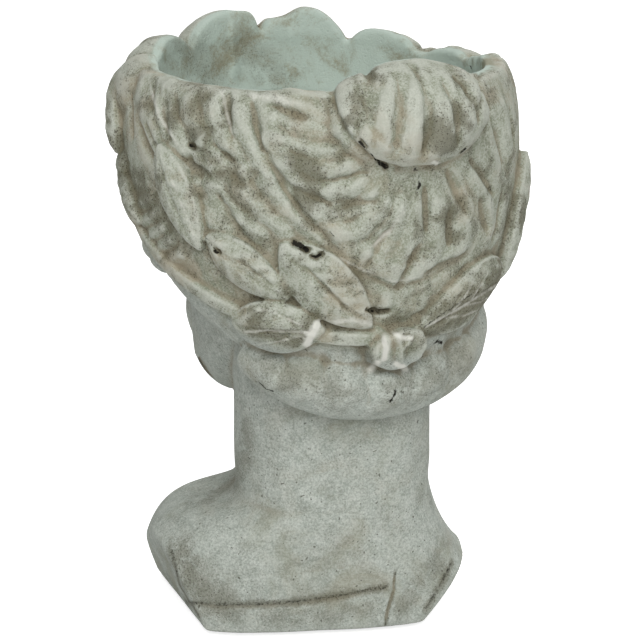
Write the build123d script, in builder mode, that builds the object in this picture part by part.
"""Head planter: a cast cement head with a laurel wreath, hollow to the top for a plant.

Millimetres. +Z is up, the chest faces -Y, and the origin is on the ground under the drain.
The head is turned on its neck. Angles round the head count from the middle of its back,
positive towards its own right. The casting is cut into the parts that a modeller works
one by one, and each later part is cut to sit on the earlier ones.
"""

import os
from math import atan2, copysign, cos, pi, radians, sin, tan

from build123d import *

# Stance
PAD_THICKNESS = 2
HEAD_TURN = 15

# Bust: the neck and the cut-off shoulders
SHOULDER_WIDTH = 152
SHOULDER_DEPTH = 94
SHOULDER_HEIGHT = 23
SHOULDER_SLOPE = 5.7
SHOULDER_ACROSS = 4
BAND_HEIGHT = 12
NECK_WIDTH = 83
NECK_DEPTH = 86
NECK_HEIGHT = 66
NECK_ACROSS = -4
NECK_BACK = 5
BUST_FULLNESS = 2.8
SHOULDER_TOP_SHARE = 0.96
NECK_FLARE_SHARE = 1.25
# How far the shoulders reach before they are cut off, at their own height and at the ground
LEFT_REACH = 71
LEFT_FOOT = 62
RIGHT_REACH = 66
RIGHT_FOOT = 47
CUT_TURN = 13

# Hair: one mass from the tilted hairline to the level rim
HAIR_WIDTH = 166
HAIR_DEPTH = 164
HAIRLINE_WIDTH = 131
HAIRLINE_DEPTH = 139
HAIRLINE_HEIGHT = 150
HAIRLINE_TILT = 32
HAIRLINE_CANT = 5
HAIRLINE_FORWARD = 6
RIM_HEIGHT = 238
RIM_WIDTH = 152
# Rise, tilt and forward shares, and how far the section has swelled from hairline to full hair
HAIR_SECTION_SHARES = ((0.27, 0.70, 0.35, 0.80), (0.56, 0.37, 0.00, 1.00), (0.83, 0.13, 0.00, 0.96))

# Grooves where strands of the hair meet, each a slim lens
GROOVE_LENGTH = 25
GROOVE_WIDTH = 5
GROOVE_DEPTH = 2.4
# Angle of the middle, lean, then shares of rise from hairline to rim, length and width; from the back on
LEFT_GROOVE_SHARES = (
    (5, -59, 0.32, 0.96, 1.1),
    (12, -13, 0.52, 0.72, 1.0),
    (15, -11, 0.64, 0.88, 0.9),
    (24, 34, 0.56, 0.80, 1.1),
    (31, 58, 0.60, 1.00, 1.1),
    (31, 17, 0.92, 0.72, 1.0),
    (40, 72, 0.85, 0.92, 1.1),
    (48, 74, 0.89, 0.88, 1.0),
    (48, 55, 0.47, 0.96, 0.9),
    (50, 22, 0.74, 0.80, 0.9),
    (56, 85, 0.43, 1.12, 0.8),
    (60, 34, 0.65, 0.76, 1.1),
    (70, 65, 0.86, 1.00, 1.0),
    (78, 46, 0.70, 1.12, 1.0),
    (90, 64, 0.80, 0.90, 1.0),
    (121, 66, 0.80, 0.90, 1.0),
    (137, 68, 0.86, 0.72, 1.0),
    (152, 72, 0.86, 0.72, 1.0),
)
RIGHT_GROOVE_SHARES = (
    (5, 68, 0.20, 0.96, 0.9),
    (9, -85, 0.47, 0.92, 0.9),
    (18, -81, 0.36, 0.80, 0.9),
    (19, 13, 0.19, 1.20, 0.8),
    (20, -58, 0.52, 1.16, 1.0),
    (31, -46, 0.56, 1.30, 1.0),
    (33, -62, 0.38, 0.92, 0.9),
    (38, -69, 0.74, 1.40, 1.0),
    (52, -80, 0.70, 1.10, 1.0),
    (66, 78, 0.80, 1.00, 1.0),
    (79, 76, 0.64, 1.10, 1.0),
    (90, 74, 0.75, 1.00, 1.0),
    (120, 70, 0.82, 0.80, 1.0),
    (137, 68, 0.86, 0.72, 1.0),
    (152, 72, 0.86, 0.72, 1.0),
)

# Bowl: the hollow, from the floor of the bust up and out of the rim
FLOOR_THICKNESS = 14
BOWL_MOUTH_RADIUS = 68
BOWL_THROAT_RADIUS = 27
BOWL_FLOOR_RADIUS = 21
# Rise and widening shares between the throat and the mouth
BOWL_SECTION_SHARES = ((0.42, 0.42), (0.68, 0.80))

# Face
FACE_WIDTH = 106
FACE_FRONT = 75
FACE_HEIGHT = 118
FACE_BACK = 15
FACE_TILT = 20
CHIN_HEIGHT = 80
# Rise, width, length, tilt and front shares of the face's own sizes
FACE_SECTION_SHARES = (
    (0.09, 0.54, 0.44, -1.00, 0.82),
    (0.17, 0.77, 0.57, -0.75, 0.90),
    (0.32, 0.88, 0.69, -0.40, 0.93),
    (0.55, 0.95, 0.83, 0.00, 0.985),
    (0.76, 1.00, 0.91, 0.40, 1.00),
    (0.98, 1.02, 0.94, 0.75, 1.00),
)
EYE_SPACING = 42
EYE_WIDTH = 22
EYE_OPENING = 13
EYE_DEPTH = 8
EYE_RISE = 62
EYE_INSET = 6
EYE_SINK = 1
SOCKET_MARGIN = 5
BROW_WIDTH = 40
BROW_THICKNESS = 14
BROW_DEPTH = 18
BROW_RISE = 73
BROW_INSET = 15
NOSE_RISE = 36
NOSE_LENGTH = 36
NOSE_WIDTH = 23
NOSE_REACH = 18
NOSE_INSET = 16
# Rise, width and reach shares of the nose's own sizes
NOSE_SECTION_SHARES = ((0.00, 0.70, 0.62), (0.14, 1.00, 1.00), (0.45, 0.66, 0.66), (1.00, 0.52, 0.20))
MOUTH_RISE = 24
MOUTH_WIDTH = 34
LIP_HEIGHT = 8
LIP_DEPTH = 18
LIP_INSET = 13
LOWER_LIP_SHARE = 0.82
LIP_SPREAD_SHARE = 0.42
CHIN_WIDTH = 36
CHIN_BALL_HEIGHT = 24
CHIN_RISE = 9
CHIN_INSET = 22
CHEEK_WIDTH = 42
CHEEK_SPACING = 48
CHEEK_RISE = 44
CHEEK_INSET = 31.5

# Hair that stands out of the mass
BUN_WIDTH = 68
BUN_HEIGHT = 43
BUN_DEPTH = 46
BUN_TOP = 249
BUN_ANGLE = 6
# Angle from the head's back, lean, then shares of rise in the bun, groove length and groove width
BUN_GROOVE_SHARES = (
    (-10, -70, 0.68, 1.2, 1.2),
    (-3, -82, 0.58, 1.3, 1.2),
    (4, 88, 0.58, 1.5, 1.2),
    (12, -75, 0.56, 1.2, 1.2),
    (18, -65, 0.66, 0.9, 1.0),
)
NAPE_ROLL_RADIUS = 14.5
NAPE_ROLL_LEFT = 47
NAPE_ROLL_RIGHT = 72
TEMPLE_ROLL_RADIUS = 11
TEMPLE_ROLL_START = 92
TEMPLE_ROLL_END = 174
# Place along a roll and its girth there
ROLL_SECTION_SHARES = (
    (0.0, 0.45),
    (0.12, 0.8),
    (0.32, 1.0),
    (0.5, 1.0),
    (0.68, 1.0),
    (0.88, 0.8),
    (1.0, 0.45),
)
LOCK_WIDTH = 39
LOCK_HEIGHT = 30
LOCK_DEPTH = 27
# Angle from the middle of the brow, and height of the top, of each lock on either side
LOCK_ANGLES = (16, 46, 75)
LOCK_TOPS = (250, 245, 242)

# Laurel wreath: a tilted twig with leaves on it
STEM_HEIGHT = 175
STEM_TILT = 27.5
STEM_WIDTH = 6
STEM_LIFT = 3
KNOT_WIDTH = 24
KNOT_HEIGHT = 18
KNOT_LIFT = 7
KNOT_ANGLE = 4
LEAF_LIFT = 5
LEAF_LAP = 1
LEAF_LENGTH = 54
LEAF_WIDTH = 27
# Angle of the middle, lean, then shares of rise from the twig, length and width; from the back on
LEFT_LEAF_SHARES = (
    (20, 45, 0.49, 0.96, 0.90),
    (35, 2, 0.07, 0.70, 0.88),
    (43, 37, 0.46, 0.76, 0.66),
    (63, 65, 0.72, 0.84, 0.66),
    (97, 20, 0.10, 0.76, 0.72),
    (106, 64, 0.62, 0.74, 0.62),
    (134, 14, 0.04, 0.76, 0.74),
    (163, 4, 0.02, 0.76, 0.74),
)
RIGHT_LEAF_SHARES = (
    (31, 20, 0.19, 1.00, 1.00),
    (61, 68, 0.38, 1.00, 0.80),
    (75, 14, -0.02, 0.80, 0.80),
    (104, 62, 0.58, 0.74, 0.64),
    (107, 14, 0.02, 0.76, 0.74),
    (135, 14, 0.04, 0.76, 0.74),
    (163, 4, 0.02, 0.76, 0.74),
)
# A leaf's side points, along its length from the middle and out by its width
LEAF_OUTLINE_SHARES = ((-0.14, 0.44), (0.28, 0.40))

# Drain and feet
DRAIN_RADIUS = 6
DRAIN_RECESS_RADIUS = 13
DRAIN_RECESS_DEPTH = 5
PLUG_FLANGE_RADIUS = 10
PLUG_FLANGE_THICKNESS = 3
PLUG_TIP = 2
PLUG_CLEARANCE = 0.1
PLUG_CHAMFER = 1
PAD_RADIUS = 7
PAD_ACROSS = 26
PAD_ALONG = 24

# How far a cut runs past what it cuts, and the points of a drawn oval
OVERRUN = 30
OVAL_POINTS = 12


def head_plane(height=0, across=0, forward=0, tilt=0, cant=0):
    """A plane across the turned head; forward is towards the face.

    Tilt drops its back edge, and cant lifts its edge on the head's left.
    """
    turned = Location((0, 0, 0), (0, 0, HEAD_TURN))
    return Plane(turned * Location((across, -forward, height), (-tilt, -cant, 0)))


def side_plane(angle, height, lean=0):
    """A plane on the head's axis that faces out at an angle from its back.

    Its x axis runs round the head, away from the back, and climbs by lean degrees.
    """
    around = radians(90 + HEAD_TURN + angle)
    outward = Vector(cos(around), sin(around), 0)
    onward = Vector(-sin(around), cos(around), 0) * copysign(1, angle)
    climbing = onward * cos(radians(lean)) + Vector(0, 0, 1) * sin(radians(lean))
    return Plane((0, 0, height), x_dir=climbing, z_dir=outward)


def oval(plane, width, depth, fullness=2):
    """A closed smooth outline; a fullness of 2 is an ellipse, and more is squarer."""

    def squared(value):
        return copysign(abs(value) ** (2 / fullness), value)

    turns = [2 * pi * step / OVAL_POINTS for step in range(OVAL_POINTS)]
    points = [(width / 2 * squared(cos(turn)), depth / 2 * squared(sin(turn))) for turn in turns]
    with BuildSketch(plane) as outline:
        with BuildLine():
            Spline(points, periodic=True)
        make_face()
    return outline.sketch


def ellipsoid(plane, width, depth, height):
    """A ball stretched along the plane's x, y and z axes."""
    with BuildPart() as ball:
        Sphere(1)
        scale(by=(width / 2, depth / 2, height / 2))
    return plane.location * ball.part


def hairline_plane():
    """The slanting plane of the hairline, low at the nape and high over the brow."""
    return head_plane(HAIRLINE_HEIGHT, forward=HAIRLINE_FORWARD, tilt=HAIRLINE_TILT, cant=HAIRLINE_CANT)


def hair_mass(lift=0):
    """The hair as one solid, swollen by lift all round."""
    rise = RIM_HEIGHT - HAIRLINE_HEIGHT
    sections = [oval(hairline_plane(), HAIRLINE_WIDTH + 2 * lift, HAIRLINE_DEPTH + 2 * lift)]
    for rise_share, tilt_share, forward_share, swell_share in HAIR_SECTION_SHARES:
        plane = head_plane(
            HAIRLINE_HEIGHT + rise * rise_share,
            forward=HAIRLINE_FORWARD * forward_share,
            tilt=HAIRLINE_TILT * tilt_share,
            cant=HAIRLINE_CANT * tilt_share,
        )
        width = HAIRLINE_WIDTH + (HAIR_WIDTH - HAIRLINE_WIDTH) * swell_share
        depth = HAIRLINE_DEPTH + (HAIR_DEPTH - HAIRLINE_DEPTH) * swell_share
        sections.append(oval(plane, width + 2 * lift, depth + 2 * lift))
    sections.append(oval(head_plane(RIM_HEIGHT), RIM_WIDTH + 2 * lift, RIM_WIDTH + 2 * lift))
    with BuildPart() as mass:
        loft(sections)
    return mass.part


def bowl_space():
    """The hollow inside the casting, running out past the rim."""
    rise = RIM_HEIGHT - NECK_HEIGHT
    widening = BOWL_MOUTH_RADIUS - BOWL_THROAT_RADIUS
    rings = [(PAD_THICKNESS + FLOOR_THICKNESS, BOWL_FLOOR_RADIUS), (NECK_HEIGHT, BOWL_THROAT_RADIUS)]
    for rise_share, widening_share in BOWL_SECTION_SHARES:
        rings.append((NECK_HEIGHT + rise * rise_share, BOWL_THROAT_RADIUS + widening * widening_share))
    rings.append((RIM_HEIGHT, BOWL_MOUTH_RADIUS))
    with BuildPart() as space:
        for height, radius in rings:
            with BuildSketch(head_plane(height)):
                Circle(radius)
        loft()
        extrude(space.faces().sort_by(Axis.Z)[-1], amount=OVERRUN)
    return space.part


def face_mass():
    """The face, jaw and forehead as one solid, with its carved features."""
    sections = [
        oval(
            head_plane(
                CHIN_HEIGHT + FACE_HEIGHT * rise_share,
                forward=FACE_FRONT * (front_share - length_share),
                tilt=FACE_TILT * tilt_share,
            ),
            FACE_WIDTH * width_share,
            2 * FACE_FRONT * length_share,
        )
        for rise_share, width_share, length_share, tilt_share, front_share in FACE_SECTION_SHARES
    ]
    sockets = []
    swells = []
    for side in (-1, 1):
        eye = side * EYE_SPACING / 2
        eye_height = CHIN_HEIGHT + EYE_RISE
        socket_plane = head_plane(eye_height, eye, FACE_FRONT - EYE_INSET)
        socket_width = EYE_WIDTH + 2 * SOCKET_MARGIN
        socket_height = EYE_OPENING + 2 * SOCKET_MARGIN
        sockets.append(ellipsoid(socket_plane, socket_width, 2 * EYE_DEPTH, socket_height))
        eye_plane = head_plane(eye_height, eye, FACE_FRONT - EYE_INSET - EYE_SINK - EYE_DEPTH)
        swells.append(ellipsoid(eye_plane, EYE_WIDTH, 2 * EYE_DEPTH, EYE_OPENING))
        brow_plane = head_plane(CHIN_HEIGHT + BROW_RISE, eye, FACE_FRONT - BROW_INSET)
        swells.append(ellipsoid(brow_plane, BROW_WIDTH, BROW_DEPTH, BROW_THICKNESS))
        cheek_plane = head_plane(CHIN_HEIGHT + CHEEK_RISE, side * CHEEK_SPACING / 2, FACE_FRONT - CHEEK_INSET)
        swells.append(ellipsoid(cheek_plane, CHEEK_WIDTH, CHEEK_WIDTH, CHEEK_WIDTH))
    chin_plane = head_plane(CHIN_HEIGHT + CHIN_RISE, forward=FACE_FRONT - CHIN_INSET)
    swells.append(ellipsoid(chin_plane, CHIN_WIDTH, CHIN_BALL_HEIGHT, CHIN_BALL_HEIGHT))
    for side, share in ((1, 1), (-1, LOWER_LIP_SHARE)):
        lip_height = CHIN_HEIGHT + MOUTH_RISE + side * LIP_HEIGHT * LIP_SPREAD_SHARE
        lip_plane = head_plane(lip_height, forward=FACE_FRONT - LIP_INSET)
        swells.append(ellipsoid(lip_plane, MOUTH_WIDTH * share, LIP_DEPTH, LIP_HEIGHT))
    nose_sections = [
        oval(
            head_plane(CHIN_HEIGHT + NOSE_RISE + NOSE_LENGTH * rise_share, forward=FACE_FRONT - NOSE_INSET),
            NOSE_WIDTH * width_share,
            2 * (NOSE_INSET + NOSE_REACH * reach_share),
        )
        for rise_share, width_share, reach_share in NOSE_SECTION_SHARES
    ]
    back = Plane(head_plane(forward=-FACE_BACK).location * Location((0, 0, 0), (90, 0, 0)))
    with BuildPart() as mass:
        loft(sections)
        add(sockets, mode=Mode.SUBTRACT)
        add(swells)
        loft(nose_sections)
        split(bisect_by=back)
    return mass.part


def bust_mass():
    """The neck and shoulders as one solid, with both shoulders cut off."""
    slope = (0, -SHOULDER_SLOPE, 0)
    level = (0, 0, 0)
    shoulder_rise = NECK_HEIGHT - SHOULDER_HEIGHT
    # Height, place across and back, slope, width and depth of each section
    rings = (
        (PAD_THICKNESS, SHOULDER_ACROSS, 0, level, SHOULDER_WIDTH, SHOULDER_DEPTH),
        (BAND_HEIGHT, SHOULDER_ACROSS, 0, level, SHOULDER_WIDTH, SHOULDER_DEPTH),
        (SHOULDER_HEIGHT, SHOULDER_ACROSS, 0, slope, SHOULDER_WIDTH * SHOULDER_TOP_SHARE, SHOULDER_DEPTH),
        (SHOULDER_HEIGHT + shoulder_rise / 2, 0, NECK_BACK, slope, NECK_WIDTH * NECK_FLARE_SHARE, NECK_DEPTH),
        (NECK_HEIGHT, NECK_ACROSS, NECK_BACK, level, NECK_WIDTH, NECK_DEPTH),
    )
    sections = [
        oval(Plane(Location((across, back, height), turn)), width, depth, BUST_FULLNESS)
        for height, across, back, turn, width, depth in rings
    ]
    with BuildPart() as mass:
        loft(sections)
        extrude(mass.faces().sort_by(Axis.Z)[-1], amount=HAIRLINE_HEIGHT - NECK_HEIGHT)
        for side, reach, foot in ((1, LEFT_REACH, LEFT_FOOT), (-1, RIGHT_REACH, RIGHT_FOOT)):
            drop = atan2(reach - foot, SHOULDER_HEIGHT)
            turn = radians(CUT_TURN)
            outward = (side * cos(turn) * cos(drop), sin(turn) * cos(drop), -sin(drop))
            split(bisect_by=Plane((side * foot, 0, 0), z_dir=outward), keep=Keep.BOTTOM)
    return mass.part


def hair_roll(start, end, radius):
    """A roll of hair along the hairline between two angles, thinner at its ends."""
    hairline = hairline_plane()
    sections = []
    for place_share, girth_share in ROLL_SECTION_SHARES:
        angle = radians(start + (end - start) * place_share)
        place = (-HAIRLINE_WIDTH / 2 * sin(angle), HAIRLINE_DEPTH / 2 * cos(angle))
        sideways = hairline.x_dir * (-HAIRLINE_WIDTH * cos(angle))
        forward = hairline.y_dir * (-HAIRLINE_DEPTH * sin(angle))
        across = Plane(hairline.from_local_coords(place), x_dir=hairline.z_dir, z_dir=sideways + forward)
        sections.append(oval(across, 2 * radius * girth_share, 2 * radius * girth_share))
    with BuildPart() as roll:
        loft(sections)
    return roll.part


def rim_swell(angle, top, width, depth, height):
    """A rounded swelling on the rim, centred on the middle of the wall."""
    middle = (BOWL_MOUTH_RADIUS + RIM_WIDTH / 2) / 2
    around = radians(90 + HEAD_TURN + angle)
    centre = (middle * cos(around), middle * sin(around), top - height / 2)
    return ellipsoid(Plane(centre, x_dir=(-sin(around), cos(around), 0)), width, depth, height)


def twig_height(angle):
    """How high the wreath's twig runs at an angle from the back of the head."""
    return STEM_HEIGHT - HAIR_DEPTH / 2 * tan(radians(STEM_TILT)) * cos(radians(angle))


def leaf_prism(angle, height, lean, length, width):
    """A leaf's outline run out from the head's axis, base towards the back of the head."""
    half = [(length * along_share, width * out_share) for along_share, out_share in LEAF_OUTLINE_SHARES]
    base = (-length / 2, 0)
    tip = (length / 2, 0)
    with BuildPart() as prism:
        with BuildSketch(side_plane(angle, height, lean)):
            with BuildLine():
                Spline([base, *half, tip])
                Spline([base, *[(along, -out) for along, out in half], tip])
            make_face()
        extrude(amount=HAIR_WIDTH)
    return prism.part


def groove_prism(angle, height, lean, length, width):
    """A slim lens run out from inside the hair, for the line between two strands."""
    with BuildPart() as prism:
        with BuildSketch(side_plane(angle, height, lean).offset(HAIRLINE_WIDTH / 2 - GROOVE_DEPTH)):
            with BuildLine():
                for side in (-1, 1):
                    ThreePointArc((-length / 2, 0), (0, side * width / 2), (length / 2, 0))
            make_face()
        extrude(amount=HAIR_WIDTH)
    return prism.part


def near(piece, others):
    """Those of the others whose boxes meet the piece's box."""
    return [other for other in others if piece.bounding_box().overlaps(other.bounding_box())]


def save(piece, name):
    """Labels a finished piece and writes it."""
    piece.label = name
    export_step(piece, f"parts/{name}.step")


os.makedirs("parts", exist_ok=True)
hair = hair_mass()
bowl = bowl_space()
face = face_mass()
bust = bust_mass()

# Face, hair and bust share the casting between them, round the hollow
with BuildPart() as face_mask:
    add(face)
    add(bowl, mode=Mode.SUBTRACT)
save(face_mask.part, "face_mask")

hair_rise = RIM_HEIGHT - HAIRLINE_HEIGHT
strand_lines = []
for side, shares in ((-1, LEFT_GROOVE_SHARES), (1, RIGHT_GROOVE_SHARES)):
    for angle, lean, rise_share, length_share, width_share in shares:
        height = HAIRLINE_HEIGHT + hair_rise * rise_share
        length = GROOVE_LENGTH * length_share
        strand_lines.append(groove_prism(side * angle, height, lean, length, GROOVE_WIDTH * width_share))
with BuildPart() as hair_grooves:
    add(strand_lines)
    add(hair_mass(-GROOVE_DEPTH), mode=Mode.SUBTRACT)
with BuildPart() as hair_shell:
    add(hair)
    add([face, bowl, *hair_grooves.solids()], mode=Mode.SUBTRACT)
save(hair_shell.part, "hair_shell")

with BuildPart() as neck_and_shoulders:
    add(bust)
    add([hair, face, bowl], mode=Mode.SUBTRACT)
    for radius, depth in ((DRAIN_RECESS_RADIUS, DRAIN_RECESS_DEPTH), (DRAIN_RADIUS, FLOOR_THICKNESS)):
        with BuildSketch(Plane.XY.offset(PAD_THICKNESS)):
            Circle(radius)
        extrude(amount=depth, mode=Mode.SUBTRACT)
save(neck_and_shoulders.part, "neck_and_shoulders")

# Rolls along the hairline: one at the nape, and one over each temple
rolls = []
for name, start, end, radius in (
    ("nape_roll", -NAPE_ROLL_LEFT, NAPE_ROLL_RIGHT, NAPE_ROLL_RADIUS),
    ("temple_roll_left", -TEMPLE_ROLL_START, -TEMPLE_ROLL_END, TEMPLE_ROLL_RADIUS),
    ("temple_roll_right", TEMPLE_ROLL_START, TEMPLE_ROLL_END, TEMPLE_ROLL_RADIUS),
):
    whole_roll = hair_roll(start, end, radius)
    with BuildPart() as roll:
        add(whole_roll)
        add([hair, face, bust, bowl, *near(whole_roll, rolls)], mode=Mode.SUBTRACT)
    rolls.append(whole_roll)
    save(roll.part, name)

# Bun at the back of the rim, and locks along its front
bun_swell = rim_swell(BUN_ANGLE, BUN_TOP, BUN_WIDTH, BUN_DEPTH, BUN_HEIGHT)
bun_core = rim_swell(
    BUN_ANGLE,
    BUN_TOP - GROOVE_DEPTH,
    BUN_WIDTH - 2 * GROOVE_DEPTH,
    BUN_DEPTH - 2 * GROOVE_DEPTH,
    BUN_HEIGHT - 2 * GROOVE_DEPTH,
)
fold_lines = []
for angle, lean, rise_share, length_share, width_share in BUN_GROOVE_SHARES:
    height = BUN_TOP - BUN_HEIGHT + BUN_HEIGHT * rise_share
    length = GROOVE_LENGTH * length_share
    fold_lines.append(groove_prism(angle, height, lean, length, GROOVE_WIDTH * width_share))
with BuildPart() as bun_grooves:
    add(fold_lines)
    add(bun_core, mode=Mode.SUBTRACT)
with BuildPart() as bun:
    add(bun_swell)
    add([hair, bowl, *bun_grooves.solids()], mode=Mode.SUBTRACT)
save(bun.part, "hair_bun")
locks = []
for side, side_name in ((-1, "left"), (1, "right")):
    for number, (angle, top) in enumerate(zip(LOCK_ANGLES, LOCK_TOPS), start=1):
        whole_lock = rim_swell(side * (180 - angle), top, LOCK_WIDTH, LOCK_DEPTH, LOCK_HEIGHT)
        with BuildPart() as lock:
            add(whole_lock)
            add([hair, bowl, *near(whole_lock, locks)], mode=Mode.SUBTRACT)
        locks.append(whole_lock)
        save(lock.part, f"front_lock_{side_name}_{number}")

# Wreath: the twig round the hair, the knot at its back, and the leaves over both
with BuildPart() as twig_disc:
    with BuildSketch(head_plane(STEM_HEIGHT, tilt=STEM_TILT)):
        Circle(HAIR_WIDTH)
    extrude(amount=STEM_WIDTH / 2, both=True)
    add(hair_mass(STEM_LIFT), mode=Mode.INTERSECT)
with BuildPart() as stem:
    add(twig_disc.part)
    add([hair, *near(twig_disc.part, locks)], mode=Mode.SUBTRACT)
save(stem.part, "wreath_stem")
with BuildPart() as knot_plug:
    with BuildSketch(side_plane(KNOT_ANGLE, twig_height(KNOT_ANGLE))):
        Ellipse(KNOT_WIDTH / 2, KNOT_HEIGHT / 2)
    extrude(amount=HAIR_WIDTH)
    add(hair_mass(KNOT_LIFT), mode=Mode.INTERSECT)
with BuildPart() as knot:
    add(knot_plug.part)
    add([hair, twig_disc.part], mode=Mode.SUBTRACT)
    add(near(knot.part, rolls), mode=Mode.SUBTRACT)
save(knot.part, "wreath_knot")
leaf_skins = (hair_mass(LEAF_LIFT), hair_mass(LEAF_LIFT - LEAF_LAP))
for side, side_name, shares in ((-1, "left", LEFT_LEAF_SHARES), (1, "right", RIGHT_LEAF_SHARES)):
    wedges = []
    for number, (angle, lean, rise_share, length_share, width_share) in enumerate(shares, start=1):
        height = twig_height(angle) + LEAF_LENGTH * rise_share
        with BuildPart() as wedge:
            add(leaf_prism(side * angle, height, lean, LEAF_LENGTH * length_share, LEAF_WIDTH * width_share))
            add(leaf_skins[number % 2], mode=Mode.INTERSECT)
        with BuildPart() as leaf:
            add(wedge.part)
            add([hair, twig_disc.part, *wedges[-1:]], mode=Mode.SUBTRACT)
            add(near(leaf.part, [knot_plug.part, bun_swell, *rolls, *locks]), mode=Mode.SUBTRACT)
        wedges.append(wedge.part)
        save(leaf.part, f"laurel_leaf_{side_name}_{number}")

# Drain plug, pushed up into the floor from below, and the pads that the bust stands on
recess_top = PAD_THICKNESS + DRAIN_RECESS_DEPTH
with BuildPart() as plug:
    with BuildSketch(Plane.XY.offset(recess_top - PLUG_FLANGE_THICKNESS)):
        Circle(PLUG_FLANGE_RADIUS)
    extrude(amount=PLUG_FLANGE_THICKNESS)
    with BuildSketch(Plane.XY.offset(recess_top)):
        Circle(DRAIN_RADIUS - PLUG_CLEARANCE)
    extrude(amount=PAD_THICKNESS + FLOOR_THICKNESS + PLUG_TIP - recess_top)
    chamfer(plug.edges().sort_by(Axis.Z)[-1], PLUG_CHAMFER)
save(plug.part, "drain_plug")
with BuildPart() as pads:
    with BuildSketch():
        with GridLocations(2 * PAD_ACROSS, 2 * PAD_ALONG, 2, 2):
            Circle(PAD_RADIUS)
    extrude(amount=PAD_THICKNESS)
save(pads.part, "felt_pads")
